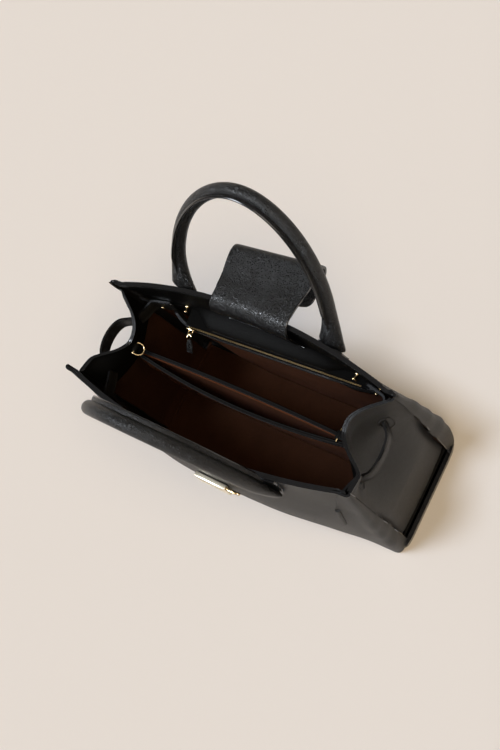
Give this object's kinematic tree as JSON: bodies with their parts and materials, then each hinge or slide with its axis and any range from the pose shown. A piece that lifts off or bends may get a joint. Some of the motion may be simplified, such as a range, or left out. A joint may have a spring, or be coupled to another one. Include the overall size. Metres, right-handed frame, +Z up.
{
  "type": "tote bag",
  "caption": "Structured open-top leather tote bag with rolled top handles, a fold-over closure flap, a front lock, folding gussets with side straps and a divided interior.",
  "frame": {"origin": "on the floor at the middle of the base's underside", "axes": "+Z up, X across the width, -Y towards the front face with the lock, +Y towards the rear face with the flap"},
  "size_m": [0.3427, 0.2428, 0.3754],
  "materials": {
    "black_leather": "pebbled, satin, with glossy painted edges",
    "brown_suede": "matt suede",
    "grey_board": "matt board",
    "black_tape": "woven",
    "gold_metal": "polished"
  },
  "bodies": {
    "bag": {"base_board": "grey_board", "base_lining": "brown_suede", "base_panel": "black_leather", "divider_front_band": "black_leather", "divider_front_panel": "brown_suede", "divider_rear_band": "black_leather", "divider_rear_panel": "brown_suede", "flap_root": "black_leather", "front_facing": "black_leather", "front_left_handle_tab": "black_leather", "front_lining": "brown_suede", "front_panel": "black_leather", "front_right_handle_tab": "black_leather", "left_fastened_stud": "gold_metal", "left_gusset": "black_leather", "left_gusset_facing": "black_leather", "left_gusset_lining": "brown_suede", "left_ring_loop": "black_leather", "left_side_strap": "black_leather", "left_spare_stud": "gold_metal", "lock_plate": "gold_metal", "lock_washer": "gold_metal", "pocket_binding": "black_leather", "pocket_panel": "brown_suede", "rear_facing": "black_leather", "rear_left_handle_tab": "black_leather", "rear_lining": "brown_suede", "rear_panel": "black_leather", "rear_right_handle_tab": "black_leather", "right_fastened_stud": "gold_metal", "right_gusset": "black_leather", "right_gusset_facing": "black_leather", "right_gusset_lining": "brown_suede", "right_ring_loop": "black_leather", "right_side_strap": "black_leather", "right_spare_stud": "gold_metal", "zipper_lower_tape": "black_tape", "zipper_teeth": "gold_metal", "zipper_upper_tape": "black_tape"},
    "front_handle": {"front_handle": "black_leather"},
    "rear_handle": {"rear_handle": "black_leather"},
    "flap": {"closure_flap": "black_leather"},
    "flap_end": {"flap_tip": "black_leather", "flap_catch": "gold_metal"},
    "zip_slider": {"zipper_slider": "gold_metal"},
    "zip_pull": {"zipper_pull_link": "gold_metal", "zipper_pull_tab": "black_leather"},
    "bolt": {"lock_bolt": "gold_metal"},
    "left_ring": {"left_d_ring": "gold_metal"},
    "right_ring": {"right_d_ring": "gold_metal"}
  },
  "joints": [
    {"name": "front_handle_hinge", "type": "hinge", "parent": "bag", "child": "front_handle", "pos_m": [0, -0.07741, 0.213], "axis": [1, 0, 0], "range_deg": [-2, 75]},
    {"name": "rear_handle_hinge", "type": "hinge", "parent": "bag", "child": "rear_handle", "pos_m": [0, 0.07525, 0.2385], "axis": [1, 0, 0], "range_deg": [-60, 27]},
    {"name": "flap_fold", "type": "hinge", "parent": "bag", "child": "flap", "pos_m": [0, 0.0681, 0.2472], "axis": [1, 0, 0], "range_deg": [0, 165]},
    {"name": "flap_end_fold", "type": "hinge", "parent": "flap", "child": "flap_end", "pos_m": [0, 0.1215, 0.2348], "axis": [1, 0, 0], "range_deg": [0, 90]},
    {"name": "zip_slide", "type": "slide", "parent": "bag", "child": "zip_slider", "axis": [0.9988, 0.0499, 0], "range_m": [0, 0.19]},
    {"name": "zip_pull_hinge", "type": "hinge", "parent": "zip_slider", "child": "zip_pull", "pos_m": [-0.09044, 0.03747, 0.1755], "axis": [0.9988, 0.0499, 0], "range_deg": [-48, 42]},
    {"name": "bolt_slide", "type": "slide", "parent": "bag", "child": "bolt", "axis": [1, 0, 0], "range_m": [0, 0.006]},
    {"name": "left_ring_hinge", "type": "hinge", "parent": "bag", "child": "left_ring", "pos_m": [-0.12926, 0, 0.19709], "axis": [0, 1, 0], "range_deg": [-80, 75]},
    {"name": "right_ring_hinge", "type": "hinge", "parent": "bag", "child": "right_ring", "pos_m": [0.1209, 0, 0.20354], "axis": [0, 1, 0], "range_deg": [-10, 110]}
  ]
}
